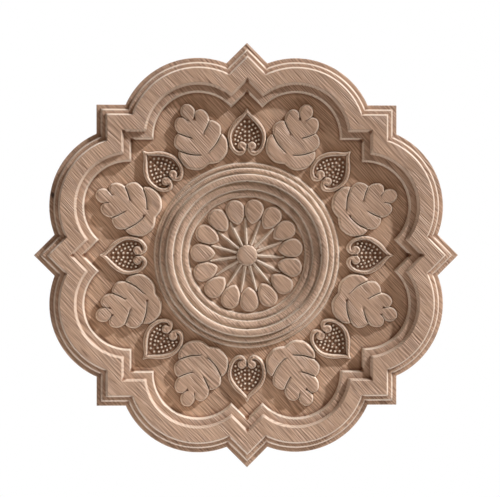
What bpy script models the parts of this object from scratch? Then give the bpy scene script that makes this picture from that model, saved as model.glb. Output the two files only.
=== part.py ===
"""Round carved wood applique: a medallion with eight lobes and eight tips.

Everything is carved in one flat-backed blank: a stepped rim, a sunken floor with
eight leaves and eight hearts, and a ringed boss with a rosette in the middle.

Lengths are metres. The medallion is drawn lying on its back, with X to the right,
Y up the panel and Z towards the viewer. Levels are heights above the flat back.
At the end it is stood up, so that its front faces -Y and its back lies on Y = 0.
"""

import math

import bmesh
import bpy

MM = 0.001

# Plan of the rim: 90 degree tips on the eight axes, round lobes between them
SECTORS = 8
TIP_RADIUS = 150.0 * MM
LOBE_CENTRE = 90.2 * MM
LOBE_RADIUS = 55.9 * MM

# Levels above the back
FLANGE_LEVEL = 11.0 * MM
LEDGE_LEVEL = 15.5 * MM
RIM_LEVEL = 20.0 * MM
FLOOR_LEVEL = 8.5 * MM
ROSETTE_LEVEL = 10.0 * MM
LEAF_LEVEL = 14.0 * MM
HEART_LEVEL = 13.6 * MM
HEART_FIELD_LEVEL = 10.6 * MM
PETAL_LEVEL = 14.0 * MM

# Carvings reach this far into the wood below them, so that they unite with it
ROOT = 1.0 * MM

# Section of the rim: distance in from the outline, and level
RIM_SECTION = (
    (0.0, 0.0),
    (0.0, FLANGE_LEVEL),
    (2.3 * MM, FLANGE_LEVEL),
    (4.4 * MM, LEDGE_LEVEL),
    (6.3 * MM, LEDGE_LEVEL),
    (8.2 * MM, RIM_LEVEL),
    (17.4 * MM, RIM_LEVEL),
    (19.2 * MM, LEDGE_LEVEL),
    (23.1 * MM, LEDGE_LEVEL),
    (24.4 * MM, FLOOR_LEVEL),
)
LOBE_STEPS = 10

# Quarter rounds of the ringed boss, three up to the crown and three down from it.
# Each has a steep foot and a flat brow, both given as radius and level.
INNER_ROUNDS = (
    ((41.1 * MM, ROSETTE_LEVEL), (45.7 * MM, 14.0 * MM)),
    ((45.7 * MM, 14.0 * MM), (51.6 * MM, 17.0 * MM)),
    ((51.6 * MM, 17.0 * MM), (54.6 * MM, RIM_LEVEL)),
)
OUTER_ROUNDS = (
    ((58.2 * MM, 16.0 * MM), (54.6 * MM, RIM_LEVEL)),
    ((62.1 * MM, 12.5 * MM), (58.2 * MM, 16.0 * MM)),
    ((65.1 * MM, FLOOR_LEVEL), (62.1 * MM, 12.5 * MM)),
)
RING_SIDES = 48
ROUND_STEPS = 3
MERGE_DISTANCE = 0.01 * MM

# Leaf on a lobe's axis, right half from tip to base: four lobes, three slots.
# Points are (distance from the leaf's axis, radius on the medallion) in mm.
LEAF_LOBES = (
    ((0.0, 114.8), (2.6, 113.7), (4.6, 110.3), (4.8, 107.7)),
    ((7.1, 107.3), (9.8, 106.5), (12.2, 103.3), (11.8, 98.8)),
    ((12.4, 97.2), (15.4, 95.4), (17.5, 91.6), (15.9, 86.7)),
    ((16.8, 85.0), (17.6, 79.8), (15.0, 73.3), (9.4, 69.4), (5.0, 68.8), (0.0, 70.0)),
)
LEAF_SLOTS = (
    ((5.8, 107.5), (3.3, 104.0)),
    ((12.0, 98.0), (5.3, 91.9)),
    ((15.9, 86.1), (9.9, 81.2), (3.9, 78.5)),
)
SLOT_MOUTH = 1.6 * MM
SLOT_END = 0.9 * MM
LEAF_CURVE_STEPS = 2

# Heart on a tip's axis, right half from point to cleft, in mm as for the leaf
HEART_OUTLINE = (
    (0.0, 103.2), (3.2, 99.8), (7.8, 96.2), (11.3, 91.8), (13.4, 87.0), (13.8, 82.0),
    (12.3, 76.4), (9.0, 72.2), (5.0, 70.5), (1.9, 72.0), (0.0, 75.4),
)
HEART_FIELD = (
    (0.0, 98.6), (3.2, 95.8), (7.6, 91.4), (10.5, 86.5), (10.9, 81.5), (8.9, 76.4),
    (5.8, 73.6), (3.4, 74.1),
)
EYE_CENTRE = (3.45 * MM, 77.3 * MM)
EYE_RADIUS = 2.75 * MM
EYE_START = math.radians(165.0)
EYE_END = math.radians(-60.0)
EYE_STEPS = 6

# Rosette: petals with a ridge, the spoke, half-way between each two
PETALS = 15
FIRST_PETAL = math.radians(9.0)
PETAL_TOP = 39.6 * MM
PETAL_POINT = 22.8 * MM
PETAL_HALF_WIDTH = 6.2 * MM
PETAL_CHEEK = (5.9 * MM, 25.6 * MM)
PETAL_ROUND_STEPS = 6
PETAL_SIDE_STEPS = 3

# Section of the hub: radius and level, from its root to its chamfered top
HUB_SECTION = (
    (7.0 * MM, ROSETTE_LEVEL - ROOT),
    (7.0 * MM, 14.0 * MM),
    (4.2 * MM, 14.8 * MM),
)
HUB_SIDES = 24

# Stations along a spoke: radius, half width, level of its ridge
SPOKE_STATIONS = (
    (5.0 * MM, 0.9 * MM, 13.4 * MM),
    (8.5 * MM, 1.3 * MM, 13.2 * MM),
    (26.0 * MM, 0.7 * MM, 10.1 * MM),
)

SHARP_ANGLE = math.radians(32.0)
WOOD_COLOUR = (0.40, 0.265, 0.185, 1.0)
WOOD_ROUGHNESS = 0.62


def clear_scene():
    """Remove the objects that are already there."""
    for old in list(bpy.data.objects):
        bpy.data.objects.remove(old, do_unlink=True)


def wood_material():
    """Bare pale hardwood."""
    material = bpy.data.materials.new("bare_wood")
    material.use_nodes = True
    shader = material.node_tree.nodes["Principled BSDF"]
    shader.inputs["Base Color"].default_value = WOOD_COLOUR
    shader.inputs["Roughness"].default_value = WOOD_ROUGHNESS
    shader.inputs["Metallic"].default_value = 0.0
    return material


def add_object(name, mesh_data):
    """Turn edited mesh data into a named object with its faces pointing out."""
    bmesh.ops.recalc_face_normals(mesh_data, faces=mesh_data.faces)
    mesh = bpy.data.meshes.new(name)
    mesh_data.to_mesh(mesh)
    mesh_data.free()
    shape = bpy.data.objects.new(name, mesh)
    bpy.context.collection.objects.link(shape)
    return shape


def turned(points, angle):
    """Turn points clockwise about the middle of the medallion."""
    c = math.cos(angle)
    s = math.sin(angle)
    return [(x * c + y * s, y * c - x * s) for x, y in points]


def in_metres(points):
    """Points given in millimetres, in metres."""
    return [(x * MM, y * MM) for x, y in points]


def mirrored(half):
    """Close a right half, drawn from top to bottom on the axis, with its mirror image."""
    left = [(-x, y) for x, y in reversed(half[1:-1])]
    return list(half) + left


def smooth_curve(points, steps):
    """A curve through all the points, with a number of steps between each two."""
    padded = [points[0]] + list(points) + [points[-1]]
    curve = []
    for a, b, c, d in zip(padded, padded[1:], padded[2:], padded[3:]):
        for step in range(steps):
            t = step / steps
            curve.append(tuple(
                0.5 * (2 * q + (r - p) * t + (2 * p - 5 * q + 4 * r - s) * t ** 2
                       + (3 * q - p - 3 * r + s) * t ** 3)
                for p, q, r, s in zip(a, b, c, d)))
    curve.append(tuple(points[-1]))
    return curve


def rim_outline(inset):
    """The medallion's outline set in by a distance, clockwise from the top tip."""
    half_sector = math.pi / SECTORS
    tip = TIP_RADIUS - inset * math.sqrt(2.0)
    radius = LOBE_RADIUS - inset
    centre_x = LOBE_CENTRE * math.sin(half_sector)
    centre_y = LOBE_CENTRE * math.cos(half_sector)
    # The tip's straight edge, x + y = tip, meets the lobe's circle in the notch
    rise = tip - centre_y
    notch_x = 0.5 * (centre_x + rise - math.sqrt(2.0 * radius ** 2 - (centre_x - rise) ** 2))
    notch_y = tip - notch_x
    spread = half_sector - math.atan2(notch_x - centre_x, notch_y - centre_y)
    sector = [(0.0, tip)]
    for step in range(LOBE_STEPS + 1):
        angle = half_sector + spread * (2.0 * step / LOBE_STEPS - 1.0)
        sector.append((centre_x + radius * math.sin(angle), centre_y + radius * math.cos(angle)))
    outline = []
    for index in range(SECTORS):
        outline += turned(sector, 2.0 * half_sector * index)
    return outline


def add_stack(shape, loops):
    """A closed body through a row of loops, capped at both ends."""
    rows = [[shape.verts.new(point) for point in loop] for loop in loops]
    for lower, upper in zip(rows, rows[1:]):
        for index in range(len(lower)):
            shape.faces.new((lower[index - 1], lower[index], upper[index], upper[index - 1]))
    shape.faces.new(rows[0])
    shape.faces.new(rows[-1])


def rim_blank():
    """The blank with its stepped rim, flat back and sunken floor."""
    shape = bmesh.new()
    add_stack(shape, [[(x, y, level) for x, y in rim_outline(inset)]
                      for inset, level in RIM_SECTION])
    return add_object("carved_medallion", shape)


def quarter_round(foot, brow):
    """Points of a quarter round, from its steep foot up to its flat brow."""
    points = []
    for step in range(ROUND_STEPS + 1):
        angle = 0.5 * math.pi * step / ROUND_STEPS
        radius = brow[0] + (foot[0] - brow[0]) * math.cos(angle)
        level = foot[1] + (brow[1] - foot[1]) * math.sin(angle)
        points.append((radius, level))
    return points


def ringed_boss():
    """The turned boss, spun from its section, with the rosette's floor inside it."""
    section = [(0.0, ROSETTE_LEVEL), INNER_ROUNDS[0][0]]
    for foot, brow in INNER_ROUNDS:
        section += quarter_round(foot, brow)[1:]
    for foot, brow in OUTER_ROUNDS:
        section += quarter_round(foot, brow)[-2::-1]
    section.append((section[-1][0], FLOOR_LEVEL - ROOT))
    section.append((0.0, FLOOR_LEVEL - ROOT))
    shape = bmesh.new()
    verts = [shape.verts.new((radius, 0.0, level)) for radius, level in section]
    edges = [shape.edges.new(pair) for pair in zip(verts, verts[1:])]
    bmesh.ops.spin(
        shape, geom=verts + edges, cent=(0.0, 0.0, 0.0), axis=(0.0, 0.0, 1.0),
        angle=2.0 * math.pi, steps=RING_SIDES, use_merge=True)
    bmesh.ops.remove_doubles(shape, verts=shape.verts, dist=MERGE_DISTANCE)
    return add_object("ringed_boss", shape)


def extruded(name, outlines, low, high):
    """Flat-topped solids on closed outlines, from one level up to another."""
    shape = bmesh.new()
    for outline in outlines:
        face = shape.faces.new([shape.verts.new((x, y, low)) for x, y in outline])
        grown = bmesh.ops.extrude_face_region(shape, geom=[face])["geom"]
        tops = [part for part in grown if isinstance(part, bmesh.types.BMVert)]
        bmesh.ops.translate(shape, vec=(0.0, 0.0, high - low), verts=tops)
    return add_object(name, shape)


def slot_sides(line):
    """A tapering slot along a line: in along its upper side, and out along the lower."""
    upper = []
    lower = []
    for index in range(1, len(line)):
        x, y = line[index]
        run_x = x - line[index - 1][0]
        run_y = y - line[index - 1][1]
        share = index / (len(line) - 1)
        reach = 0.5 * (SLOT_MOUTH + (SLOT_END - SLOT_MOUTH) * share) / math.hypot(run_x, run_y)
        upper.append((x + run_y * reach, y - run_x * reach))
        lower.append((x - run_y * reach, y + run_x * reach))
    return upper + lower[::-1]


def leaf_outline():
    """The leaf's whole outline, with the slots that part its lobes."""
    half = []
    for index, lobe in enumerate(LEAF_LOBES):
        half += smooth_curve(in_metres(lobe), LEAF_CURVE_STEPS)
        if index < len(LEAF_SLOTS):
            half += slot_sides(in_metres(LEAF_SLOTS[index]))
    return mirrored(half)


def leaves():
    """A leaf in each lobe of the floor, its tip outwards."""
    step = 2.0 * math.pi / SECTORS
    outlines = [turned(leaf_outline(), step * (index + 0.5)) for index in range(SECTORS)]
    return extruded("leaves", outlines, FLOOR_LEVEL - ROOT, LEAF_LEVEL)


def heart_field_outline():
    """The heart's sunken field, which runs round the eye of each scroll."""
    half = in_metres(HEART_FIELD)
    for step in range(EYE_STEPS + 1):
        angle = EYE_START + (EYE_END - EYE_START) * step / EYE_STEPS
        half.append((EYE_CENTRE[0] + EYE_RADIUS * math.sin(angle),
                     EYE_CENTRE[1] + EYE_RADIUS * math.cos(angle)))
    half.append((0.0, half[-1][1]))
    return mirrored(half)


def hearts():
    """A heart under each tip, with a raised band round its sunken field."""
    step = 2.0 * math.pi / SECTORS
    outline = mirrored(in_metres(HEART_OUTLINE))
    outlines = [turned(outline, step * index) for index in range(SECTORS)]
    shape = extruded("hearts", outlines, FLOOR_LEVEL - ROOT, HEART_LEVEL)
    field = heart_field_outline()
    fields = [turned(field, step * index) for index in range(SECTORS)]
    cutter = extruded("heart_fields", fields, HEART_FIELD_LEVEL, HEART_LEVEL + ROOT)
    combine(shape, cutter, "DIFFERENCE")
    return shape


def petal_outline():
    """A teardrop: a half circle outside, and two bowed cheeks down to a point."""
    round_centre = PETAL_TOP - PETAL_HALF_WIDTH
    half = []
    for step in range(PETAL_ROUND_STEPS // 2 + 1):
        angle = math.pi * step / PETAL_ROUND_STEPS
        half.append((PETAL_HALF_WIDTH * math.sin(angle),
                     round_centre + PETAL_HALF_WIDTH * math.cos(angle)))
    for step in range(1, PETAL_SIDE_STEPS + 1):
        t = step / PETAL_SIDE_STEPS
        start = (1.0 - t) ** 2
        bow = 2.0 * t * (1.0 - t)
        half.append((start * PETAL_HALF_WIDTH + bow * PETAL_CHEEK[0],
                     start * round_centre + bow * PETAL_CHEEK[1] + t ** 2 * PETAL_POINT))
    return mirrored(half)


def petals():
    """The rosette's ring of petals, points inwards."""
    step = 2.0 * math.pi / PETALS
    outlines = [turned(petal_outline(), FIRST_PETAL + step * index) for index in range(PETALS)]
    return extruded("petals", outlines, ROSETTE_LEVEL - ROOT, PETAL_LEVEL)


def spokes():
    """Roof-shaped ridges from the hub that sink into the floor between the petals."""
    shape = bmesh.new()
    step = 2.0 * math.pi / PETALS
    for index in range(PETALS):
        angle = FIRST_PETAL + step * (index + 0.5)
        sections = []
        for radius, half_width, ridge in SPOKE_STATIONS:
            plan = turned([(-half_width, radius), (0.0, radius), (half_width, radius)], angle)
            levels = (ROSETTE_LEVEL - ROOT, ridge, ROSETTE_LEVEL - ROOT)
            sections.append([(x, y, level) for (x, y), level in zip(plan, levels)])
        add_stack(shape, sections)
    return add_object("spokes", shape)


def hub():
    """The low round button in the middle."""
    shape = bmesh.new()
    step = 2.0 * math.pi / HUB_SIDES
    circle = [(math.sin(step * index), math.cos(step * index)) for index in range(HUB_SIDES)]
    add_stack(shape, [[(x * radius, y * radius, level) for x, y in circle]
                      for radius, level in HUB_SECTION])
    return add_object("hub", shape)


def combine(shape, other, operation):
    """Unite a shape with another, or cut it, and remove the other."""
    step = shape.modifiers.new(other.name, "BOOLEAN")
    step.operation = operation
    step.solver = "EXACT"
    step.object = other
    evaluated = shape.evaluated_get(bpy.context.evaluated_depsgraph_get())
    mesh = bpy.data.meshes.new_from_object(evaluated)
    shape.modifiers.clear()
    shape.data = mesh
    bpy.data.objects.remove(other, do_unlink=True)


def build():
    """Make the medallion and stand it up with its front to -Y."""
    clear_scene()
    medallion = rim_blank()
    for carving in (ringed_boss, leaves, hearts, petals, spokes, hub):
        combine(medallion, carving(), "UNION")
    medallion.data.name = "carved_medallion"
    medallion.data.shade_smooth()
    medallion.data.set_sharp_from_angle(angle=SHARP_ANGLE)
    medallion.data.materials.clear()
    medallion.data.materials.append(wood_material())
    medallion.rotation_euler = (0.5 * math.pi, 0.0, 0.0)


build()
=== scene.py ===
# %% [markdown]
# # A round carved wood medallion
#
# The real piece is one flat blank of bare pale hardwood, probably glued up from boards. All its
# ornament is cut down into the face: a stepped rim of lobes and tips, a sunken floor with leaves
# and beaded hearts, and a ring of turned mouldings round a rosette.
#
# A relief like this has one surface level over every point of its plan. So it could be sculpted,
# pieced together from solids, or written down as one function that gives the level at a point.
# The function is used here: each ornament is a few lines, all edges stay crisp, and the mesh and
# its shading both come from the same rule.

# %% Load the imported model
import math

import bpy
import numpy as np
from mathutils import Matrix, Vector, geometry, kdtree


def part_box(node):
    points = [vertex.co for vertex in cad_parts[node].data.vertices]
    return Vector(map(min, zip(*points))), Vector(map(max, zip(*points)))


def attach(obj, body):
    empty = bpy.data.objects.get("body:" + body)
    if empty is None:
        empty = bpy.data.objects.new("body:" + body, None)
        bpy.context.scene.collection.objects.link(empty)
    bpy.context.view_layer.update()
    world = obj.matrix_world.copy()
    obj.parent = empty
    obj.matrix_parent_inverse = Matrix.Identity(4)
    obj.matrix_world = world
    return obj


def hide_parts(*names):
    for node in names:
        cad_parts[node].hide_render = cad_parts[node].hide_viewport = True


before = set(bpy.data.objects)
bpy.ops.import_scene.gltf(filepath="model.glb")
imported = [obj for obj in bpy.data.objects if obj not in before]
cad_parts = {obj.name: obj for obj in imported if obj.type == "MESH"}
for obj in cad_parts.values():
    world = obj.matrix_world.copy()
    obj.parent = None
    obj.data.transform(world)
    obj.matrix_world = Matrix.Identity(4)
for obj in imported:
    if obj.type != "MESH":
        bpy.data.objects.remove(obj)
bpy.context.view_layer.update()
low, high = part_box("carved_medallion")
print("The packed medallion is", [round(side, 4) for side in high - low], "metres")

# %% [markdown]
# ## The drawing
#
# The carver's drawing is made in millimetres, for a medallion 300 mm across. One unit is worked
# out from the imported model, so that the relief follows it if it is ever made in another size.
# Levels are heights above the flat back, and the main ones are shares of the thickness.
#
# A point of the plan is held as one complex number, x to the right and y upwards. Turning a whole
# outline is then one multiplication, and mirroring it is one minus sign.

# %% Unit, thickness and levels
UNIT = (high.x - low.x) / 300.0
THICKNESS = (high.y - low.y) / UNIT
RIM_LEVEL = THICKNESS
LEDGE_LEVEL = 0.775 * THICKNESS
FLANGE_LEVEL = 0.55 * THICKNESS
FLOOR_LEVEL = 0.425 * THICKNESS
ROSETTE_LEVEL = 0.52 * THICKNESS
LEAF_LEVEL = 0.7 * THICKNESS
HEART_LEVEL = 0.68 * THICKNESS
HEART_FIELD_LEVEL = 0.48 * THICKNESS
PETAL_LEVEL = 0.7 * THICKNESS
print("One unit is", UNIT, "metres, and the blank is", round(THICKNESS, 3), "units thick")


# %% Drawing helpers
def drawn(pairs):
    """Points of the drawing as complex numbers."""
    return np.array([complex(x, y) for x, y in pairs])


def turned(points, angle):
    """Points turned clockwise about the middle of the medallion."""
    return points * np.exp(-1j * angle)


def both_halves(half):
    """A closed outline from its right half, drawn from top to bottom on the axis."""
    return np.concatenate([half, -np.conj(half[-2:0:-1])])


def smooth_curve(points, steps):
    """A curve through all the points, with a number of steps between each two."""
    padded = [points[0], *points, points[-1]]
    curve = []
    for p, q, r, s in zip(padded, padded[1:], padded[2:], padded[3:]):
        for t in np.arange(steps) / steps:
            curve.append(0.5 * (2 * q + (r - p) * t + (2 * p - 5 * q + 4 * r - s) * t ** 2
                                + (3 * q - p - 3 * r + s) * t ** 3))
    return np.array(curve + [points[-1]])


def bowed(start, pull, end, steps):
    """A bow from start to end that a third point pulls aside."""
    t = np.linspace(0.0, 1.0, steps)
    return start * (1 - t) ** 2 + 2 * pull * t * (1 - t) + end * t ** 2


def fold(points, count, first):
    """Points brought into the right half of one sector, its axis turned upright."""
    step = 2.0 * math.pi / count
    clockwise = np.arctan2(points.real, points.imag)
    own = first + step * np.round((clockwise - first) / step)
    upright = points * np.exp(1j * own)
    return abs(upright.real) + 1j * upright.imag


# %% [markdown]
# ## Sections with eased edges
#
# No cut edge in wood is perfectly sharp: the cutter leaves a small round, and sanding adds to it.
# That round is what catches a low light as a thin bright line. All sections but the ring's are
# drawn with plain corners first, and a short curve is then put at each corner. A section is used
# in two ways: finely divided for the levels, and coarsely for the lines that the mesh follows.
# The lines of a steep wall lie close together, so a wall gets the fewest.

# %% Section helpers
FINE = 12
COARSE = 3
WALL_COARSE = 2
MOST_OF_SIDE = 0.45


def eased(section, reach, steps):
    """A section with a short curve at each corner: positions in the real part, levels above."""
    section = drawn(section)
    points = [section[0]]
    for before, corner, after in zip(section, section[1:], section[2:]):
        back = before - corner
        ahead = after - corner
        start = corner + back / abs(back) * min(reach, MOST_OF_SIDE * abs(back))
        end = corner + ahead / abs(ahead) * min(reach, MOST_OF_SIDE * abs(ahead))
        points.extend(bowed(start, corner, end, steps + 1))
    return np.array(points + [section[-1]])


def level_on(section, position):
    """The level of a section at a position, kept level beyond its two ends."""
    return np.interp(position, section.real, section.imag)


# %% [markdown]
# ## The stepped rim
#
# The outline has a right-angled tip on each of eight axes and a round lobe between each two. The
# rim runs round it as a moulding: a low flange, a ledge, a broad flat top, and two steps down to
# the floor. A router would follow the outline at growing distances, so the level depends only on
# how far in from the outline a point lies. Inside a tip that is the distance from its straight
# edges, inside a lobe from its circle, and the larger of the two where they meet.

# %% Rim
SECTORS = 8
HALF_SECTOR = math.pi / SECTORS
TIP_RADIUS = 150.0
LOBE_RADIUS = 55.9
LOBE_CENTRE = turned(90.2j, HALF_SECTOR)
LOBE_STEPS = 40
EDGE_STEPS = 6
RIM_EASE = 0.4
RIM_SECTION = (
    (0.0, FLANGE_LEVEL - 0.5), (0.4, FLANGE_LEVEL), (2.8, FLANGE_LEVEL), (4.2, LEDGE_LEVEL),
    (6.4, LEDGE_LEVEL), (7.8, RIM_LEVEL), (17.7, RIM_LEVEL), (19.3, LEDGE_LEVEL),
    (23.5, LEDGE_LEVEL), (24.5, FLOOR_LEVEL), (27.0, FLOOR_LEVEL),
)
rim_fine = eased(RIM_SECTION, RIM_EASE, FINE)
rim_coarse = eased(RIM_SECTION, RIM_EASE, COARSE)


def rim_inset(points):
    """How far in from the medallion's outline points lie."""
    tip = fold(points, SECTORS, 0.0)
    from_edge = (TIP_RADIUS - tip.real - tip.imag) / math.sqrt(2.0)
    from_lobe = LOBE_RADIUS - abs(tip - LOBE_CENTRE)
    return np.maximum(from_edge, from_lobe)


def rim_outline(inset):
    """The medallion's outline set in by a distance, clockwise from the top tip."""
    tip = TIP_RADIUS - inset * math.sqrt(2.0)
    radius = LOBE_RADIUS - inset
    # The tip's straight edge, x + y = tip, meets the lobe's circle in the notch
    rise = tip - LOBE_CENTRE.imag
    reach = LOBE_CENTRE.real + rise
    root = math.sqrt(2.0 * radius ** 2 - (LOBE_CENTRE.real - rise) ** 2)
    notch = complex(0.5 * (reach - root), tip - 0.5 * (reach - root))
    spoke = notch - LOBE_CENTRE
    spread = HALF_SECTOR - math.atan2(spoke.real, spoke.imag)
    edge = 1j * tip + (notch - 1j * tip) * np.arange(EDGE_STEPS) / EDGE_STEPS
    angles = HALF_SECTOR + spread * np.linspace(-1, 1, LOBE_STEPS + 1)
    arc = LOBE_CENTRE + turned(1j * radius, angles)
    other = turned(-np.conj(edge[:0:-1]), 2.0 * HALF_SECTOR)
    sector = np.concatenate([edge, arc, other])
    return np.concatenate([turned(sector, 2.0 * HALF_SECTOR * k) for k in range(SECTORS)])


print("The rim has", len(rim_coarse), "lines of", len(rim_outline(0.0)), "points")

# %% [markdown]
# ## The ringed boss
#
# Round the rosette stand six quarter rounds, three climbing to a crown and three falling from it,
# with a narrow quirk cut between each two on either side. On the real piece they look turned on
# a lathe. A screw or spin would make them alone, but here they are one more section, read off by
# radius.

# %% Ring of mouldings
ROUND_STEPS = 7
QUIRK_WIDTH = 1.4
QUIRK_BOTTOM = 0.65
QUIRK_DEPTH = 1.0
FULLNESS = 0.7
APRON = 1.0
RING_POINTS = 240
INNER_ROUNDS = drawn(((41.1, ROSETTE_LEVEL), (46.2, 14.0), (52.1, 17.0), (54.6, RIM_LEVEL)))
OUTER_ROUNDS = drawn(((65.4, FLOOR_LEVEL), (61.6, 12.5), (57.3, 16.0), (54.6, RIM_LEVEL)))


def rounds(stations, steps):
    """Quarter rounds that climb from station to station: a steep foot, a flat brow, a quirk."""
    points = [stations[0]]
    for foot, brow in zip(stations, stations[1:]):
        topmost = brow == stations[-1]
        edge = brow.real + (0.0 if topmost else math.copysign(QUIRK_WIDTH, foot.real - brow.real))
        angle = 0.5 * math.pi * np.arange(1, steps + 1) / steps
        across = edge + (foot.real - edge) * np.clip(np.cos(angle), 0.0, 1.0) ** FULLNESS
        up = foot.imag + (brow.imag - foot.imag) * np.sin(angle)
        points.extend(across + 1j * up)
        if not topmost:
            quirk = brow - 1j * QUIRK_DEPTH
            points.extend((quirk + QUIRK_BOTTOM * (edge - brow.real), quirk))
    return points


def ring_section(steps):
    """The whole section of the ring, from the rosette's floor out to the sunken floor."""
    inner = [INNER_ROUNDS[0] - APRON] + rounds(INNER_ROUNDS, steps)
    outer = [OUTER_ROUNDS[0] + APRON] + rounds(OUTER_ROUNDS, steps)
    return np.array(inner + outer[-2::-1])


ring_fine = ring_section(4 * ROUND_STEPS)
ring_coarse = ring_section(ROUND_STEPS)
print("The ring has", len(ring_coarse), "lines, up to level", round(ring_fine.imag.max(), 2))

# %% [markdown]
# ## Distances from an outline
#
# Leaves, hearts and petals are flat carvings with steep walls. Their level depends on how far
# inside its outline a point lies, so one helper measures that, for all of them. Every outline is
# the same on both sides of its axis, so only the right half is drawn and measured.

# %% Distance helpers
MARGIN = 1.5
GROOVE_POWER = 1.4
BROKEN_EDGE = 1.5


def set_in(points, half):
    """How far points lie inside an outline, given by its right half; negative outside it."""
    nearest = np.full(points.shape, np.inf)
    inside = np.zeros(points.shape, bool)
    for a, b in zip(half, half[1:]):
        run = b - a
        share = np.clip(((points - a) * np.conj(run)).real / abs(run) ** 2, 0.0, 1.0)
        nearest = np.minimum(nearest, abs(points - a - share * run))
        if run.imag != 0.0:
            edge = a.real + (points.imag - a.imag) * run.real / run.imag
            inside ^= ((a.imag > points.imag) != (b.imag > points.imag)) & (points.real < edge)
    return np.where(inside, nearest, -nearest)


def near(points, half):
    """Which points are inside an outline's box, or close to it."""
    beside = points.real < half.real.max() + MARGIN
    below_top = points.imag < half.imag.max() + MARGIN
    return beside & below_top & (points.imag > half.imag.min() - MARGIN)


def groove(points, line, widths, depths):
    """How deep a V-shaped groove along a line cuts, tapering from its first end to its last."""
    cut = np.zeros(points.shape)
    for index, (a, b) in enumerate(zip(line, line[1:])):
        share = np.clip(((points - a) * np.conj(b - a)).real / abs(b - a) ** 2, 0.0, 1.0)
        along = (index + share) / (len(line) - 1)
        half_width = widths[0] + (widths[1] - widths[0]) * along
        depth = depths[0] + (depths[1] - depths[0]) * along
        away = abs(points - a - share * (b - a))
        # The power eases the groove's two edges and keeps its bottom sharp
        cut = np.maximum(cut, depth * np.clip(1.0 - away / half_width, 0.0, 1.0) ** GROOVE_POWER)
    return cut


def wall(foot, top, ease, steps):
    """The section of a steep wall with a broken top edge, standing on an outline."""
    section = ((-1.3, foot), (-0.55, foot), (0.1, top - BROKEN_EDGE), (0.9, top), (1.9, top))
    return eased(section, ease, steps)


# %% [markdown]
# ## Leaves
#
# Each lobe of the floor holds an oak-like leaf with its tip outwards. It has a flat top, seven
# rounded lobes, and a slot between each two that a V-shaped cutter made, running in from the edge
# and rising as it goes. The half outline is four drawn curves, and the slots are drawn lines.

# %% Leaf
LEAF_LOBES = (
    ((0.0, 114.9), (2.6, 113.9), (4.3, 111.4), (4.7, 109.2), (4.6, 107.6)),
    ((5.6, 107.4), (8.2, 107.8), (10.6, 106.2), (12.0, 102.8), (11.8, 98.8)),
    ((12.6, 97.6), (15.2, 95.6), (17.2, 91.6), (15.9, 86.9)),
    ((16.6, 85.5), (17.8, 80.4), (15.2, 73.4), (9.4, 69.4), (5.0, 68.9), (0.0, 70.3)),
)
LEAF_SLOTS = (
    ((5.0, 107.7), (4.1, 106.3), (3.1, 104.6)),
    ((12.6, 98.7), (8.6, 94.6), (5.0, 91.6)),
    ((16.8, 86.8), (10.0, 81.0), (3.7, 77.9)),
)
SLOT_SIZES = (0.7, 1.0, 1.0)
SLOT_WIDTHS = np.array((1.2, 0.95))
SLOT_DEPTHS = np.array((3.3, 2.1))
LEAF_EASE = 0.4
LEAF_STEPS = 5
SLOT_STEPS = 4

leaf_half = np.concatenate([smooth_curve(drawn(lobe), LEAF_STEPS) for lobe in LEAF_LOBES])
leaf_slots = [smooth_curve(drawn(slot), SLOT_STEPS) for slot in LEAF_SLOTS]
leaf_wall = wall(FLOOR_LEVEL, LEAF_LEVEL, LEAF_EASE, FINE)


def leaf_level(points):
    """The level of a leaf with its slots."""
    level = level_on(leaf_wall, set_in(points, leaf_half))
    for slot, size in zip(leaf_slots, SLOT_SIZES):
        level -= groove(points, slot, size * SLOT_WIDTHS, size * SLOT_DEPTHS)
    return level


print("A leaf's half outline has", len(leaf_half), "points and", len(leaf_slots), "slots")

# %% [markdown]
# ## Beaded hearts
#
# Under each tip is an upside-down heart: a rounded band that comes in at the cleft and curls into
# two scrolls, round a sunken field of small beads. The band's level is the lower of two sections,
# one from the heart's outline and one from the field's, so its crest follows both of them. Past
# the crest the field's section dips, and that gives each scroll a raised rim.

# %% Heart
HEART_OUTLINE = (
    (0.0, 103.6), (1.2, 101.2), (3.4, 98.9), (7.1, 95.9), (10.6, 91.6), (12.7, 86.8),
    (13.1, 82.0), (11.8, 76.8), (8.8, 72.8), (5.2, 71.0), (2.4, 72.2), (0.9, 74.6), (0.0, 75.6),
)
HEART_FIELD = (
    (0.0, 100.1), (3.4, 96.4), (7.6, 91.8), (10.7, 86.7), (11.2, 81.6), (9.6, 76.4),
    (6.4, 73.5), (3.5, 73.9),
)
EYE_CENTRE = 3.6 + 77.3j
EYE_RADIUS = 2.7
EYE_POINTS = 13
EYE_TURN = np.radians(np.linspace(165.0, -60.0, EYE_POINTS))
BEAD_RADIUS = 1.0
BEAD_HEIGHT = 1.9
# Rows of beads in the right half: how many, and a bow from the first to the last
BEAD_ROWS = (
    (7, (1.7, 94.5), (9.9, 88.3), (8.1, 78.5)),
    (5, (1.5, 90.9), (5.4, 86.5), (6.4, 80.8)),
    (3, (1.5, 87.3), (1.7, 84.4), (1.4, 81.3)),
    (1, (3.9, 82.4), (3.9, 82.4), (3.9, 82.4)),
)
CLEFT = drawn(((0.0, 74.0), (0.0, 80.6)))
CLEFT_WIDTHS = (1.2, 1.0)
CLEFT_DEPTHS = (4.4, 3.8)
BAND_OUTSIDE = ((-1.3, FLOOR_LEVEL), (-0.6, FLOOR_LEVEL), (0.15, HEART_LEVEL - 1.0),
                (0.6, HEART_LEVEL - 0.4), (1.2, HEART_LEVEL), (3.0, HEART_LEVEL - 0.3))
BAND_INSIDE = ((-1.0, HEART_FIELD_LEVEL), (-0.35, HEART_FIELD_LEVEL), (0.1, HEART_LEVEL - 1.4),
               (0.7, HEART_LEVEL - 0.3), (1.2, HEART_LEVEL), (1.9, HEART_LEVEL - 0.5),
               (3.0, HEART_LEVEL - 0.7))
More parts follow.
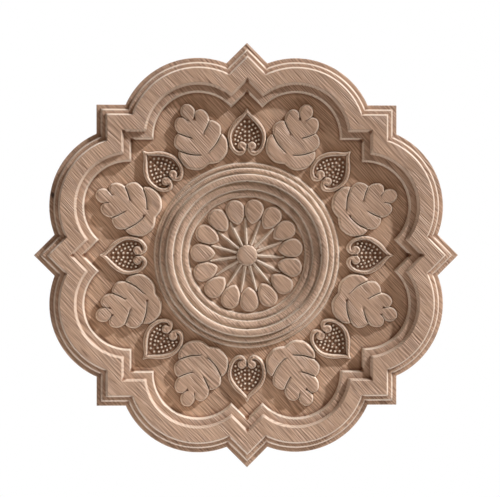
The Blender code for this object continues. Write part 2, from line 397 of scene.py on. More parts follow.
BAND_EASE = 0.35
HEART_STEPS = 4

heart_half = smooth_curve(drawn(HEART_OUTLINE), HEART_STEPS)
eye = EYE_CENTRE + turned(1j * EYE_RADIUS, EYE_TURN)
field_side = smooth_curve(drawn(HEART_FIELD), HEART_STEPS)
field_half = np.concatenate([field_side, eye, [1j * eye[-1].imag]])
band_outside = eased(BAND_OUTSIDE, BAND_EASE, FINE)
band_inside = eased(BAND_INSIDE, BAND_EASE, FINE)
beads = np.concatenate([bowed(*drawn(bow), count) for count, *bow in BEAD_ROWS])


def heart_level(points):
    """The level of a heart: its band, its field and the beads on it."""
    in_field = set_in(points, field_half)
    outside = level_on(band_outside, set_in(points, heart_half))
    level = np.minimum(outside, level_on(band_inside, -in_field))
    cleft = level - groove(points, CLEFT, CLEFT_WIDTHS, CLEFT_DEPTHS)
    level = np.maximum(cleft, np.minimum(level, HEART_FIELD_LEVEL))
    off_bead = abs(points[:, None] - beads[None, :]).min(axis=1) / BEAD_RADIUS
    dome = HEART_FIELD_LEVEL + BEAD_HEIGHT * (1.0 - off_bead ** 2)
    return np.where(in_field > 0.0, np.maximum(level, dome), level)


print("A heart has", 2 * len(beads), "beads")

# %% [markdown]
# ## Rosette
#
# Inside the ring fifteen teardrop petals point at a low round hub, and thin spokes with a roof
# shape run out from the hub between them. Fifteen does not divide into eight, so the rosette is
# folded into sectors of its own.

# %% Petals, spokes and hub
PETALS = 15
FIRST_PETAL = math.radians(9.0)
FIRST_SPOKE = FIRST_PETAL + math.pi / PETALS
PETAL_TOP = 39.6
PETAL_HALF_WIDTH = 6.2
PETAL_CHEEK = 5.9 + 25.6j
PETAL_POINT = 22.8j
PETAL_EASE = 0.4
PETAL_ROUND_POINTS = 9
PETAL_CHEEK_POINTS = 12
SPOKE_RADII = (5.0, 8.5, 17.0, 26.4)
SPOKE_HALF_WIDTHS = (0.95, 1.25, 1.05, 0.75)
SPOKE_RIDGES = (14.2, 14.0, 13.2, 12.2)
HUB_SECTION = ((0.0, 15.2), (5.0, 15.0), (7.0, 14.1), (7.6, ROSETTE_LEVEL), (8.6, ROSETTE_LEVEL))
HUB_EASE = 0.9

round_centre = 1j * (PETAL_TOP - PETAL_HALF_WIDTH)
quarter_turn = np.linspace(0.0, 0.5 * math.pi, PETAL_ROUND_POINTS)
petal_round = round_centre + turned(1j * PETAL_HALF_WIDTH, quarter_turn)
petal_cheek = bowed(petal_round[-1], PETAL_CHEEK, PETAL_POINT, PETAL_CHEEK_POINTS)
petal_half = np.concatenate([petal_round, petal_cheek[1:]])
spoke_half = drawn(zip(SPOKE_HALF_WIDTHS, SPOKE_RADII))
spoke_outline = np.concatenate([[1j * SPOKE_RADII[0]], spoke_half, [1j * SPOKE_RADII[-1]]])
petal_wall = wall(ROSETTE_LEVEL, PETAL_LEVEL, PETAL_EASE, FINE)
hub_fine = eased(HUB_SECTION, HUB_EASE, FINE)
hub_coarse = eased(HUB_SECTION, HUB_EASE, COARSE)


def petal_level(points):
    """The level of a petal."""
    return level_on(petal_wall, set_in(points, petal_half))


def spoke_level(points):
    """The level of a spoke: a roof whose ridge gets lower on its way out."""
    out = points.imag
    ridge = np.interp(out, SPOKE_RADII, SPOKE_RIDGES, right=0.0)
    side = points.real / np.interp(out, SPOKE_RADII, SPOKE_HALF_WIDTHS)
    return ROSETTE_LEVEL + (ridge - ROSETTE_LEVEL) * np.clip(1.0 - side, 0.0, 1.0)


print("A petal's half outline has", len(petal_half), "points")


# %% [markdown]
# ## One level for each point
#
# All ornaments are carved from the same blank, so where two of them meet the higher one is what
# is left of the wood. Each is worked out only for the points near it.

# %% Level of the whole face
def raise_to(level, points, half, ornament):
    """Keep the higher of the level so far and an ornament's, near that ornament."""
    close = near(points, half)
    level[close] = np.maximum(level[close], ornament(points[close]))


def level_at(points):
    """The level of the carved face over points of the plan."""
    level = np.maximum(level_on(rim_fine, rim_inset(points)), level_on(ring_fine, abs(points)))
    raise_to(level, fold(points, SECTORS, HALF_SECTOR), leaf_half, leaf_level)
    raise_to(level, fold(points, SECTORS, 0.0), heart_half, heart_level)
    raise_to(level, fold(points, PETALS, FIRST_PETAL), petal_half, petal_level)
    raise_to(level, fold(points, PETALS, FIRST_SPOKE), spoke_half, spoke_level)
    hub = abs(points) < HUB_SECTION[-1][0]
    level[hub] = np.maximum(level[hub], level_on(hub_fine, abs(points[hub])))
    return level


# %% [markdown]
# ## Crease lines
#
# A mesh only looks carved where its edges run along the edges of the carving. So every line where
# the slope changes is drawn on the plan first: the rim and the ring at each station of their
# sections, each outline at each station of its wall, the slots, the beads and the spokes. Lines
# that would cross their own outline at a tight corner are left open there.

# %% Crease helpers
TOLERANCE = 0.02
SHARPEST_MITRE = 0.3
TURN = 2.0 * math.pi
crease_points = []
crease_edges = []


def draw(line, kept=None, closed=True, copies=1, first=0.0):
    """Draw a line on the plan, open where points aren't kept, and repeat it round the middle."""
    kept = np.ones(len(line), bool) if kept is None else kept
    joined = kept & np.roll(kept, -1)
    joined[-1] &= closed
    number = np.cumsum(kept) - 1
    pairs = [(number[i], number[(i + 1) % len(line)]) for i in np.flatnonzero(joined)]
    for copy in range(copies):
        start = len(crease_points)
        crease_points.extend(turned(line[kept], first + TURN * copy / copies))
        crease_edges.extend((start + i, start + j) for i, j in pairs)


def draw_beside(half, stations, copies, first):
    """Draw lines at set distances inside and outside an outline."""
    outline = both_halves(half)
    ahead = np.roll(outline, -1) - outline
    ahead /= abs(ahead)
    inward = -1j * (ahead + np.roll(ahead, 1))
    inward /= abs(inward)
    mitre = 1.0 / np.maximum(SHARPEST_MITRE, (inward * np.conj(-1j * ahead)).real)
    for station in stations:
        tries = [outline + station * inward, outline + station * mitre * inward]
        errors = [abs(set_in(abs(p.real) + 1j * p.imag, half) - station) for p in tries]
        line = np.where(errors[0] < errors[1], tries[0], tries[1])
        draw(line, kept=np.minimum(*errors) < TOLERANCE, copies=copies, first=first)


def circle(centre, radius, count):
    """A closed circle of points."""
    return centre + radius * turned(1j, TURN * np.arange(count) / count)


# %% Draw the rim, the ring and the hub
HUB_POINTS = 48

for inset in rim_coarse.real:
    draw(rim_outline(inset))
for radius in ring_coarse.real:
    draw(circle(0.0, radius, RING_POINTS))
for radius in hub_coarse.real[1:]:
    draw(circle(0.0, radius, HUB_POINTS))
draw(np.array([0j]), closed=False)
print("The rim, the ring and the hub have", len(crease_points), "crease points")

# %% Draw the leaves and their slots
SLOT_SHARES = (-1.0, -0.7, -0.35, 0.0, 0.35, 0.7, 1.0)

leaf_stations = wall(FLOOR_LEVEL, LEAF_LEVEL, LEAF_EASE, WALL_COARSE).real
draw_beside(leaf_half, leaf_stations, SECTORS, HALF_SECTOR)
for slot, size in zip(leaf_slots, SLOT_SIZES):
    run = np.gradient(slot)
    width = size * np.linspace(*SLOT_WIDTHS, len(slot)) * 1j * run / abs(run)
    for share in SLOT_SHARES:
        side = slot + share * width
        for line in (side, -np.conj(side)):
            draw(line, closed=False, copies=SECTORS, first=HALF_SECTOR)
print("With the leaves there are", len(crease_points))

# %% Draw the hearts, their fields and beads
CLEFT_SHARES = (-1.0, -0.6, 0.0, 0.6, 1.0)
BEAD_LINES = ((1.0, 10), (0.55, 8))

draw_beside(heart_half, eased(BAND_OUTSIDE, BAND_EASE, WALL_COARSE).real, SECTORS, 0.0)
draw_beside(field_half, -eased(BAND_INSIDE, BAND_EASE, WALL_COARSE).real, SECTORS, 0.0)
for share in CLEFT_SHARES:
    draw(CLEFT + share * CLEFT_WIDTHS[0], closed=False, copies=SECTORS)
for bead in np.concatenate([beads, -np.conj(beads)]):
    for share, count in BEAD_LINES:
        draw(circle(bead, share * BEAD_RADIUS, count), copies=SECTORS)
    draw(np.array([bead]), closed=False, copies=SECTORS)
print("With the hearts there are", len(crease_points))

# %% Draw the petals and spokes
SPOKE_SHARES = (-1.0, -0.6, -0.25, 0.0, 0.25, 0.6, 1.0)
SPOKE_POINTS = 9

petal_stations = wall(ROSETTE_LEVEL, PETAL_LEVEL, PETAL_EASE, WALL_COARSE).real
draw_beside(petal_half, petal_stations, PETALS, FIRST_PETAL)
spoke_out = np.linspace(SPOKE_RADII[0], SPOKE_RADII[-1], SPOKE_POINTS)
for share in SPOKE_SHARES:
    side = share * np.interp(spoke_out, SPOKE_RADII, SPOKE_HALF_WIDTHS) + 1j * spoke_out
    draw(side, closed=False, copies=PETALS, first=FIRST_SPOKE)
print("The plan has", len(crease_points), "points and", len(crease_edges), "edges on its creases")

# %% [markdown]
# ## From plan to solid
#
# A constrained triangulation joins up all the points of the plan, and keeps every crease line as
# an edge. A few loose points fill the flats, so that no triangle grows long there. Then each
# point is lifted to its level, and walls and a back close the piece, as in a real flat blank.

# %% Triangulate the plan
FILL_PITCH = 3.0
EDGE_GAP = 1.0
MERGE = 0.004


def fill_points():
    """Points in staggered rows on the flats, clear of the crease lines."""
    tree = kdtree.KDTree(len(crease_points))
    for index, point in enumerate(crease_points):
        tree.insert((point.real, point.imag, 0.0), index)
    tree.balance()
    row_gap = FILL_PITCH * math.sqrt(0.75)
    rows = np.arange(-TIP_RADIUS, TIP_RADIUS, row_gap)
    grid = [complex(x + 0.5 * FILL_PITCH * (row % 2), y) for row, y in enumerate(rows)
            for x in np.arange(-TIP_RADIUS, TIP_RADIUS, FILL_PITCH)]
    grid = [p for p, inset in zip(grid, rim_inset(np.array(grid))) if inset > EDGE_GAP]
    return [p for p in grid if tree.find((p.real, p.imag, 0.0))[2] > 0.5 * FILL_PITCH]


def triangulated(points, edges):
    """Triangles between points, inside the outermost closed line, and where each point went."""
    flat = [Vector((p.real, p.imag)) for p in points]
    verts, _, faces, origins, _, _ = geometry.delaunay_2d_cdt(flat, edges, [], 1, MERGE)
    place = {index: new for new, old in enumerate(origins) for index in old}
    return np.array([complex(*v) for v in verts]), faces, place


plan_points = crease_points + fill_points()
plan, plan_faces, place = triangulated(plan_points, crease_edges)
levels = level_at(plan)
print("The face has", len(plan), "points and", len(plan_faces), "triangles")

# %% [markdown]
# ## Shading normals and edges
#
# Blender would guess the shading normals from the triangles. The level function knows them: its
# slope at a point gives the normal there, so flats stay flat right up to an eased edge. The same
# function tells brows, which stand above the wood round them, from hollows, which lie below it,
# and finds the feet of walls. The finish uses that to paint a highlight on edges and to paint
# shade into quirks and corners. Steep walls and the recess are noted too: the walls get a painted
# highlight, and the floor a little painted light, which makes it lighter than the flats. So are
# the turned parts, the slots and the beads, which get a painted sheen, and the beads' field, which
# gets painted shade between them.

# %% Slopes, brows and hollows
SLOPE_STEP = 0.03
DIRECTIONS = 8
EDGE_REACH = 0.6
FOOT_REACH = 1.0
FOOT_FADE = 1.5
RECESS_TOP = 12.5
# Painted sheen on turned parts, slots, spokes and beads, and painted shade between the beads
TURNED_PAINTED_SHEEN = 0.12
BEAD_PAINTED_SHEEN = 2.6
SPOKE_PAINTED_SHEEN = 0.17
FIELD_PAINTED_SHADE = 0.7
FIELD_SHADE_FADE = 2.3
LEAST_FIELD_SHADE = 0.45
LINE_EDGE = 0.05
FIELD_EDGE = 0.1
RIM_BROW = 9.0
RIM_MIDDLE = 15.0
RIM_DEPTH = 25.0
RIM_WALLS = 0.85


def face_normals(points):
    """Shading normals of the face in world space, where it looks to -Y."""
    rise_x = level_at(points + SLOPE_STEP) - level_at(points - SLOPE_STEP)
    rise_y = level_at(points + 1j * SLOPE_STEP) - level_at(points - 1j * SLOPE_STEP)
    across = np.full(points.shape, 2.0 * SLOPE_STEP)
    normals = np.stack([-rise_x, -across, -rise_y], axis=1)
    return normals / np.linalg.norm(normals, axis=1)[:, None]


def brows_and_hollows(points, levels):
    """How far points stand out, how deep they lie in a groove, and how near a wall's foot."""
    around = [level_at(points + step) - levels for step in circle(0.0, EDGE_REACH, DIRECTIONS)]
    brows = -np.mean(around, axis=0)
    opposite = DIRECTIONS // 2
    pairs = [np.minimum(around[k], around[k + opposite]) for k in range(opposite)]
    grooves = np.clip(np.max(pairs, axis=0), 0.0, None)
    farther = [level_at(points + step) - levels for step in circle(0.0, FOOT_REACH, DIRECTIONS)]
    feet = np.clip(np.mean(farther, axis=0), 0.0, None)
    return np.clip(brows, 0.0, None), grooves, feet


def painted_sheen_and_shade_at(points):
    """Painted sheen on turned parts, slots, spokes and most on beads, and painted shade between
    beads.
    """
    radius = abs(points)
    turned_part = (radius > INNER_ROUNDS[0].real) & (radius < OUTER_ROUNDS[0].real)
    turned_part |= radius < HUB_SECTION[-2][0]
    leaf = fold(points, SECTORS, HALF_SECTOR)
    cuts = [groove(leaf, slot, size * SLOT_WIDTHS, (1.0, 1.0))
            for slot, size in zip(leaf_slots, SLOT_SIZES)]
    in_slot = (np.max(cuts, axis=0) > LINE_EDGE) & (set_in(leaf, leaf_half) > 0.0)
    painted_sheen = np.where(turned_part | in_slot, TURNED_PAINTED_SHEEN, 0.0)
    painted_sheen[set_in(fold(points, PETALS, FIRST_SPOKE), spoke_outline) > 0.0] = SPOKE_PAINTED_SHEEN
    heart = fold(points, SECTORS, 0.0)
    close = near(heart, field_half)
    off_bead = abs(heart[close][:, None] - beads[None, :]).min(axis=1) / BEAD_RADIUS
    painted_sheen[close] = BEAD_PAINTED_SHEEN * np.clip(1.0 - off_bead ** 2, 0.0, 1.0)
    # Painted shade in the field, darker away from each bead
    between = np.zeros(points.shape)
    in_field = set_in(heart[close], field_half) > FIELD_EDGE
    between[close] = np.clip(off_bead ** 2, 0.0, 1.0) * in_field
    between[close] *= np.clip(FIELD_SHADE_FADE - off_bead, LEAST_FIELD_SHADE, 1.0)
    return painted_sheen, between


normals = face_normals(plan)
brow, hollow, foot = brows_and_hollows(plan, levels)
steep = 1.0 + normals[:, 1]
# Painted shade at the feet of walls, kept off the walls themselves
foot *= np.clip(1.0 - FOOT_FADE * steep, 0.0, 1.0)
painted_sheen, between_beads = painted_sheen_and_shade_at(plan)
# The painted shade between the beads joins that in the grooves
hollow = np.maximum(hollow, FIELD_PAINTED_SHADE * between_beads)
inset = rim_inset(plan)
# A little less painted highlight on the walls of the rim
steep *= np.where((inset > RIM_BROW) & (inset < RIM_DEPTH), RIM_WALLS, 1.0)
# Where painted light lifts the floor of the recess
recess = np.clip((RECESS_TOP - levels) / (RECESS_TOP - FLOOR_LEVEL), 0.0, 1.0)
recess *= inset > RIM_MIDDLE
print("Brows stand out by up to", round(brow.max(), 2))
print("Hollows lie up to", round(hollow.max(), 2), "deep")

# %% Close the piece with its edge and back
BACK_EASE = 0.5

# The outline was drawn first, so its points come first on the plan too
lower_edge = rim_outline(0.0)
edge_loop = [place[index] for index in range(len(lower_edge))]
back_edge = rim_outline(BACK_EASE)
back, back_faces, back_place = triangulated(list(back_edge), [
    (i, (i + 1) % len(back_edge)) for i in range(len(back_edge))])
back_loop = [back_place[index] for index in range(len(back_edge))]

points = np.concatenate([plan, lower_edge, back])
heights = np.concatenate([levels, np.full(len(lower_edge), BACK_EASE), np.zeros(len(back))])
lower_loop = [len(plan) + index for index in range(len(lower_edge))]
back_loop = [len(plan) + len(lower_edge) + index for index in back_loop]


def strip(upper, lower):
    """Quads between two loops that run clockwise round the piece."""
    count = len(upper)
    return [(upper[i], upper[(i + 1) % count], lower[(i + 1) % count], lower[i])
            for i in range(count)]


back_start = len(plan) + len(lower_edge)
back_polygons = [tuple(back_start + i for i in reversed(face)) for face in back_faces]
faces = plan_faces + strip(edge_loop, lower_loop) + strip(lower_loop, back_loop) + back_polygons
corners = UNIT * np.stack([points.real, -heights, points.imag], axis=1)

mesh = bpy.data.meshes.new("carved_relief")
mesh.from_pydata(corners.tolist(), [], faces)
print("The piece has", len(mesh.vertices), "points and", len(mesh.polygons), "faces")

# %% Give the mesh its shading and its painted light and shade
SHARP_ANGLE = math.radians(30.0)

for name, values in (("brow", brow), ("hollow", hollow), ("foot", foot), ("steep", steep),
                     ("recess", recess), ("painted_sheen", painted_sheen)):
    attribute = mesh.attributes.new(name, "FLOAT", "POINT")
    padded = np.concatenate([values, np.zeros(len(points) - len(plan))])
    attribute.data.foreach_set("value", padded.astype(np.float32))

mesh.shade_smooth()
mesh.set_sharp_from_angle(angle=SHARP_ANGLE)
corner_normals = np.zeros((len(mesh.loops), 3))
corner_points = np.zeros(len(mesh.loops), int)
mesh.loops.foreach_get("vertex_index", corner_points)
face_corners = 3 * len(plan_faces)
corner_normals[:face_corners] = normals[corner_points[:face_corners]]
mesh.normals_split_custom_set(corner_normals.tolist())
mesh.validate()

medallion = bpy.data.objects.new("medallion", mesh)
bpy.context.scene.collection.objects.link(medallion)
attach(medallion, "root")
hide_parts("carved_medallion")

# %% [markdown]
# ## Bare wood
#
# The wood is a pale, even hardwood, left bare. Its grain runs from the upper left to the lower
# right of the whole panel, across every carving alike, which is what shows that it is one blank.
# So the texture is solid: it is worked out from the place in the wood, not from the surface, and
# a steep wall shows the same fibres as the flat above it.
#
# A fine stretched noise gives the fibres, a coarser one the streaks of the growth rings, and the
# peaks of a third one short dark pores. A wavering comb adds the close, even lines of the grain,
# and a broad noise makes them and the fibres stronger in some places than in others. The boards
# of the blank each start at another place of the noise, and differ a little in tone. One small
# dark knot sits in the edge on the left, and its shape is a distance from its own place.

# %% Node helpers
def node(tree, kind, settings=None, **sockets):
    """A new node, its settings made and its inputs given values or joined to other nodes."""
    made = tree.nodes.new(kind)
    for name, value in (settings or {}).items():
        setattr(made, name, value)
    for name, value in sockets.items():
        number = name[1:]
        socket = made.inputs[int(number) if number.isdigit() else name.replace("_", " ")]
        if isinstance(value, bpy.types.NodeSocket):
            tree.links.new(value, socket)
        else:
            socket.default_value = value
    return made


def maths(tree, operation, first, second=0.0):
    """One sum in a node tree."""
    return node(tree, "ShaderNodeMath", {"operation": operation}, _0=first, _1=second).outputs[0]


def ranged(tree, value, low, high, to_low=0.0, to_high=1.0):
    """A value brought from one range into another."""
    return node(tree, "ShaderNodeMapRange", None, Value=value, From_Min=low, From_Max=high,
                To_Min=to_low, To_Max=to_high).outputs["Result"]


def blended(tree, blend, factor, first, second):
    """Two colours mixed or multiplied."""
    mix = node(tree, "ShaderNodeMix", {"data_type": "RGBA", "blend_type": blend},
               _0=factor, _6=first, _7=second)
    return mix.outputs[2]


# %% The grain as a node group
GRAIN_TURN = math.radians(-47.0)
BOARD_WIDTH = 0.062
LINE_PITCH = 0.00165
LINE_WAVER = 9.0
# Cells to the metre along and across the grain, and how many finer layers each noise has
STREAK_CELLS = (5.0, 110.0, 2.0)
FIBRE_CELLS = (65.0, 1800.0, 1.0)
PORE_CELLS = (80.0, 1100.0, 0.0)
WAVER_CELLS = (9.0, 70.0, 1.0)
SPREAD_CELLS = (40.0, 90.0, 2.0)
SPREAD_RANGE = (0.35, 0.62)
PORE_PEAKS = (0.66, 0.76)
KNOT_PLACE = (-136.9 * UNIT, -0.55 * THICKNESS * UNIT, 42.4 * UNIT)
KNOT_SIZE = (0.0013, 0.004, 0.0024)
KNOT_EDGE = (0.6, 1.2)


def stretched_noise(tree, place, along, across, detail):
    """Noise drawn out along the grain, with so many cells to the metre along and across it."""
    scaled = node(tree, "ShaderNodeMapping", None, Vector=place, Scale=(along, across, across))
    noise = node(tree, "ShaderNodeTexNoise", None, Vector=scaled.outputs[0], Scale=1.0,
                 Detail=detail)
    return noise.outputs[0]


def grain_group():
    """Masks of a solid wood's boards, streaks, fibres, lines, pores and knot."""
    tree = bpy.data.node_groups.new("wood_grain", "ShaderNodeTree")
    for name in ("Board", "Streak", "Fibre", "Line", "Pore", "Knot"):
        tree.interface.new_socket(name, in_out="OUTPUT", socket_type="NodeSocketFloat")
    place = node(tree, "ShaderNodeTexCoord").outputs["Object"]
    turn = node(tree, "ShaderNodeMapping", None, Vector=place, Rotation=(0.0, GRAIN_TURN, 0.0))
    parts = node(tree, "ShaderNodeSeparateXYZ", None, Vector=turn.outputs[0])
    board = maths(tree, "FLOOR", maths(tree, "DIVIDE", parts.outputs["Z"], BOARD_WIDTH))
    chance = node(tree, "ShaderNodeTexWhiteNoise", {"noise_dimensions": "1D"}, W=board)
    moved = node(tree, "ShaderNodeVectorMath", {"operation": "ADD"}, _0=turn.outputs[0],
                 _1=chance.outputs["Color"]).outputs[0]
    streak = stretched_noise(tree, moved, *STREAK_CELLS)
    fibre = stretched_noise(tree, moved, *FIBRE_CELLS)
    pore = stretched_noise(tree, moved, *PORE_CELLS)
    waver = stretched_noise(tree, moved, *WAVER_CELLS)
    spread = stretched_noise(tree, moved, *SPREAD_CELLS)
    # A comb across the grain, wavering along it, and fainter in some places
    turns = maths(tree, "ADD", maths(tree, "DIVIDE", parts.outputs["Z"], LINE_PITCH),
                  maths(tree, "MULTIPLY", waver, LINE_WAVER))
    comb = maths(tree, "SINE", maths(tree, "MULTIPLY", turns, TURN))
    line = maths(tree, "MULTIPLY", comb, ranged(tree, spread, *SPREAD_RANGE, 0.1, 1.1))
    # The fibres' contrast about their middle value is stronger in those places too
    centred = maths(tree, "SUBTRACT", fibre, 0.5)
    contrast = ranged(tree, spread, *SPREAD_RANGE, 0.6, 1.3)
    fibre = maths(tree, "ADD", maths(tree, "MULTIPLY", centred, contrast), 0.5)
    # The distance from the knot's place, in its own half sizes, with a ragged edge
    offset = node(tree, "ShaderNodeVectorMath", {"operation": "SUBTRACT"},
                  _0=place, _1=KNOT_PLACE).outputs[0]
    shape = node(tree, "ShaderNodeVectorMath", {"operation": "DIVIDE"},
                 _0=offset, _1=KNOT_SIZE).outputs[0]
    away = node(tree, "ShaderNodeVectorMath", {"operation": "LENGTH"}, _0=shape).outputs["Value"]
    ragged = maths(tree, "ADD", away, ranged(tree, fibre, 0.3, 0.7, -0.5, 0.5))
    knot = ranged(tree, ragged, *KNOT_EDGE, 1.0, 0.0)
    out = node(tree, "NodeGroupOutput")
    tree.links.new(chance.outputs["Value"], out.inputs["Board"])
    tree.links.new(streak, out.inputs["Streak"])
    tree.links.new(fibre, out.inputs["Fibre"])
    tree.links.new(line, out.inputs["Line"])
    tree.links.new(knot, out.inputs["Knot"])
    tree.links.new(ranged(tree, pore, *PORE_PEAKS), out.inputs["Pore"])
    return tree


grain = grain_group()
print("The grain group gives", [socket.name for socket in grain.interface.items_tree])

# %% [markdown]
# ## The finish of the carved face
#
# The face isn't one colour. Brows and steep walls get a painted highlight, and the turned parts,
# the slots and the beads a painted sheen. Hollows and the feet of walls get painted shade, and the
# floor of the recess a little painted light. Painting it by hand would do, but here the masks that
# are kept with the mesh do it by rule. Each one lightens or darkens the grain's colour in turn,
# and the grain also gives the surface its fine relief and its dull and glossy fibres.

# %% The wood of the carved face
PALE_WOOD = (0.64, 0.432, 0.308, 1.0)
DARK_WOOD = (0.37, 0.232, 0.155, 1.0)
LINE_TONE = (0.62, 0.54, 0.48, 1.0)
# A painted highlight for brows, steep walls and the turned parts
PAINTED_HIGHLIGHT_WOOD = (0.97, 0.86, 0.74, 1.0)
# Painted shade for grooves, quirks and the feet of walls
PAINTED_SHADE_TONE = (0.38, 0.25, 0.17, 1.0)
# Painted light that makes the recess floor a little lighter
RECESS_PAINTED_LIGHT = (1.1, 1.09, 1.06, 1.0)
KNOT_WOOD = (0.06, 0.035, 0.025, 1.0)
# How strongly each mark shows in the colour
LINE_CONTRAST = 0.28
PORE_SHADE = 0.4
# The painted highlight on brows and on steep walls
BROW_PAINTED_HIGHLIGHT = 0.22
WALL_PAINTED_HIGHLIGHT = 0.78
# Painted shade at the feet of walls
FOOT_PAINTED_SHADE = 0.9
LINE_SHADE = 0.55
# How it shows in the relief and in the gloss
PORE_DEPTH = 0.6
LINE_DEPTH = 0.12
GRAIN_HEIGHT = 0.0006
GRAIN_STRENGTH = 0.9
BROW_GLOSS = 0.22


def carved_wood():
    """Bare wood with its grain, painted highlights on brows and walls, painted shade in hollows
    and corners.
    """
    material = bpy.data.materials.new("carved_wood")
    material.use_nodes = True
    tree = material.node_tree
    shader = tree.nodes["Principled BSDF"]
    group = node(tree, "ShaderNodeGroup", {"node_tree": grain})
    board, streak, fibre, line, pore, knot = (
        group.outputs[name] for name in ("Board", "Streak", "Fibre", "Line", "Pore", "Knot"))
    # The grain, from pale to dark wood
    tone = maths(tree, "ADD", ranged(tree, streak, 0.35, 0.65, 0.2, 0.36),
                 ranged(tree, fibre, 0.36, 0.64, -0.3, 0.75))
    tone = maths(tree, "ADD", tone, ranged(tree, board, 0.0, 1.0, -0.08, 0.12))
    tone = maths(tree, "ADD", tone, maths(tree, "MULTIPLY", line, LINE_CONTRAST))
    colour = blended(tree, "MIX", tone, PALE_WOOD, DARK_WOOD)
    pore_shade = maths(tree, "MULTIPLY", pore, PORE_SHADE)
    colour = blended(tree, "MULTIPLY", pore_shade, colour, DARK_WOOD)
    # Painted light and shade of the carving, mixed into the grain's colour in turn
    brow, hollow, foot, steep, recess, painted_sheen = (
        node(tree, "ShaderNodeAttribute", {"attribute_name": name}).outputs["Fac"]
        for name in ("brow", "hollow", "foot", "steep", "recess", "painted_sheen"))
    # Painted highlight: paler on brows and steep walls, whatever the light
    painted_highlight = maths(tree, "ADD", ranged(tree, brow, 0.1, 0.9, 0.0, BROW_PAINTED_HIGHLIGHT),
                  ranged(tree, steep, 0.35, 0.75, 0.0, WALL_PAINTED_HIGHLIGHT))
    # Painted sheen on the turned parts, slots, spokes and beads, most on their steep sides
    turned_painted_sheen = maths(tree, "MULTIPLY", painted_sheen, ranged(tree, steep, 0.1, 0.5, 0.4, 2.0))
    painted_highlight = maths(tree, "ADD", painted_highlight, turned_painted_sheen)
    # Painted light on the floor of the recess
    colour = blended(tree, "MULTIPLY", recess, colour, RECESS_PAINTED_LIGHT)
    # Painted shade at the feet of walls, in the corners next to the floor
    foot_painted_shade = ranged(tree, foot, 0.1, 1.4, 0.0, FOOT_PAINTED_SHADE)
    colour = blended(tree, "MULTIPLY", foot_painted_shade, colour, PAINTED_SHADE_TONE)
    colour = blended(tree, "MIX", painted_highlight, colour, PAINTED_HIGHLIGHT_WOOD)
    # Painted shade in grooves, slots, quirks and between the beads
    colour = blended(tree, "MULTIPLY", ranged(tree, hollow, 0.15, 0.7), colour, PAINTED_SHADE_TONE)
    line_shade = ranged(tree, line, 0.0, 1.0, 0.0, LINE_SHADE)
    colour = blended(tree, "MULTIPLY", line_shade, colour, LINE_TONE)
    colour = blended(tree, "MIX", knot, colour, KNOT_WOOD)
    tree.links.new(colour, shader.inputs["Base Color"])
    # Fibres differ in gloss, and rubbed brows shine a little
    dull = ranged(tree, fibre, 0.3, 0.7, 0.48, 0.6)
    gloss = ranged(tree, brow, 0.05, 0.6, 0.0, BROW_GLOSS)
    tree.links.new(maths(tree, "SUBTRACT", dull, gloss), shader.inputs["Roughness"])
    # Fibres stand up, and pores and lines lie lower
    height = maths(tree, "SUBTRACT", fibre, maths(tree, "MULTIPLY", pore, PORE_DEPTH))
    height = maths(tree, "SUBTRACT", height, maths(tree, "MULTIPLY", line, LINE_DEPTH))
    bump = node(tree, "ShaderNodeBump", None, Strength=GRAIN_STRENGTH, Distance=GRAIN_HEIGHT,
                Height=height)
    tree.links.new(bump.outputs[0], shader.inputs["Normal"])
    return material


mesh.materials.append(carved_wood())
print("The medallion's material has", len(mesh.materials[0].node_tree.nodes), "nodes")

# %% [markdown]
# ## Floor, light and camera
#
# The light is low, from the upper right, so that every step of the relief throws a short shadow.
# Two broad suns stand in for a window: one a little higher, and one that only just rakes the
# face. A dim warm sky fills the shadows, though the camera sees it white, and a weaker sun
# behind keeps the back visible. A long lens, far away, shows the relief almost without
# perspective, as in the photo.

# %% Floor
FLOOR_SIZE = 1.4
FLOOR_DROP = 0.5
FLOOR_COLOUR = (0.86, 0.86, 0.86, 1.0)
MOTTLE_COLOUR = (0.6, 0.6, 0.6, 1.0)
MOTTLE_STRENGTH = 0.06


def plain_material(name, colour):
    """A matt pale surface with a faint mottle."""
    material = bpy.data.materials.new(name)
    material.use_nodes = True
    tree = material.node_tree
    shader = tree.nodes["Principled BSDF"]
    mottle = node(tree, "ShaderNodeTexNoise", None, Scale=3.0, Detail=2.0).outputs[0]
    share = ranged(tree, mottle, 0.3, 0.7, 0.0, MOTTLE_STRENGTH)
    shade = blended(tree, "MIX", share, colour, MOTTLE_COLOUR)
    tree.links.new(shade, shader.inputs["Base Color"])
    shader.inputs["Roughness"].default_value = 0.8
    return material


floor_mesh = bpy.data.meshes.new("studio_floor")
half = 0.5 * FLOOR_SIZE
square = ((-half, -half), (half, -half), (half, half), (-half, half))
floor_mesh.from_pydata([(x, y, -FLOOR_DROP) for x, y in square], [], [(0, 1, 2, 3)])
floor_mesh.materials.append(plain_material("studio_floor", FLOOR_COLOUR))
studio_floor = bpy.data.objects.new("studio_floor", floor_mesh)
bpy.context.scene.collection.objects.link(studio_floor)
print("The floor lies", FLOOR_DROP, "metres below the medallion's middle")

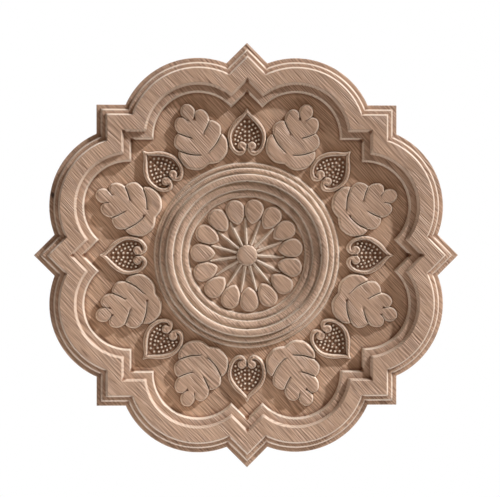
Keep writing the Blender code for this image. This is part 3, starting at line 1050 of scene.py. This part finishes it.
# %% Lights
def sun(name, azimuth, height, strength, softness):
    """A soft sun, by its direction round the panel from the top, and its height above the face."""
    data = bpy.data.lights.new(name, "SUN")
    data.energy = strength
    data.angle = math.radians(softness)
    lamp = bpy.data.objects.new(name, data)
    azimuth, height = math.radians(azimuth), math.radians(height)
    towards = Vector((math.cos(height) * math.sin(azimuth), -math.sin(height),
                      math.cos(height) * math.cos(azimuth)))
    lamp.rotation_euler = towards.to_track_quat("Z", "Y").to_euler()
    bpy.context.scene.collection.objects.link(lamp)
    print("Sun", name, "gives", strength)


sun("key", 46.0, 24.0, 2.36, 3.0)
sun("rake", 46.0, 10.0, 1.85, 5.0)
sun("back_fill", -30.0, -40.0, 1.6, 20.0)

SKY = (1.0, 0.8, 0.66, 1.0)
SKY_LIGHT = 0.24
WHITE = (1.0, 1.0, 1.0, 1.0)

world = bpy.data.worlds.new("studio")
bpy.context.scene.world = world
world.use_nodes = True
tree = world.node_tree
tree.nodes.clear()
seen = node(tree, "ShaderNodeBackground", None, Color=WHITE, Strength=1.0)
fill = node(tree, "ShaderNodeBackground", None, Color=SKY, Strength=SKY_LIGHT)
path = node(tree, "ShaderNodeLightPath")
both = node(tree, "ShaderNodeMixShader", None, _0=path.outputs["Is Camera Ray"],
            _1=fill.outputs[0], _2=seen.outputs[0])
node(tree, "ShaderNodeOutputWorld", None, Surface=both.outputs[0])
bpy.context.scene.view_settings.view_transform = "Standard"

# %% Camera
SENSOR = 36.0
DISTANCE = 1.4
VIEW_WIDTH = 0.3523
LOOK_AT = Vector((0.00194, -0.015, 0.00476))
LEFT = math.radians(2.6)
UP = math.radians(0.4)

camera_data = bpy.data.cameras.new("camera")
camera_data.sensor_width = SENSOR
camera_data.lens = SENSOR * DISTANCE / VIEW_WIDTH
camera = bpy.data.objects.new("camera", camera_data)
towards = Vector((-math.sin(LEFT) * math.cos(UP), -math.cos(LEFT) * math.cos(UP), math.sin(UP)))
camera.location = LOOK_AT + DISTANCE * towards
camera.rotation_euler = towards.to_track_quat("Z", "Y").to_euler()
bpy.context.scene.collection.objects.link(camera)
bpy.context.scene.camera = camera
print("The camera has a lens of", round(camera_data.lens, 1), "mm")
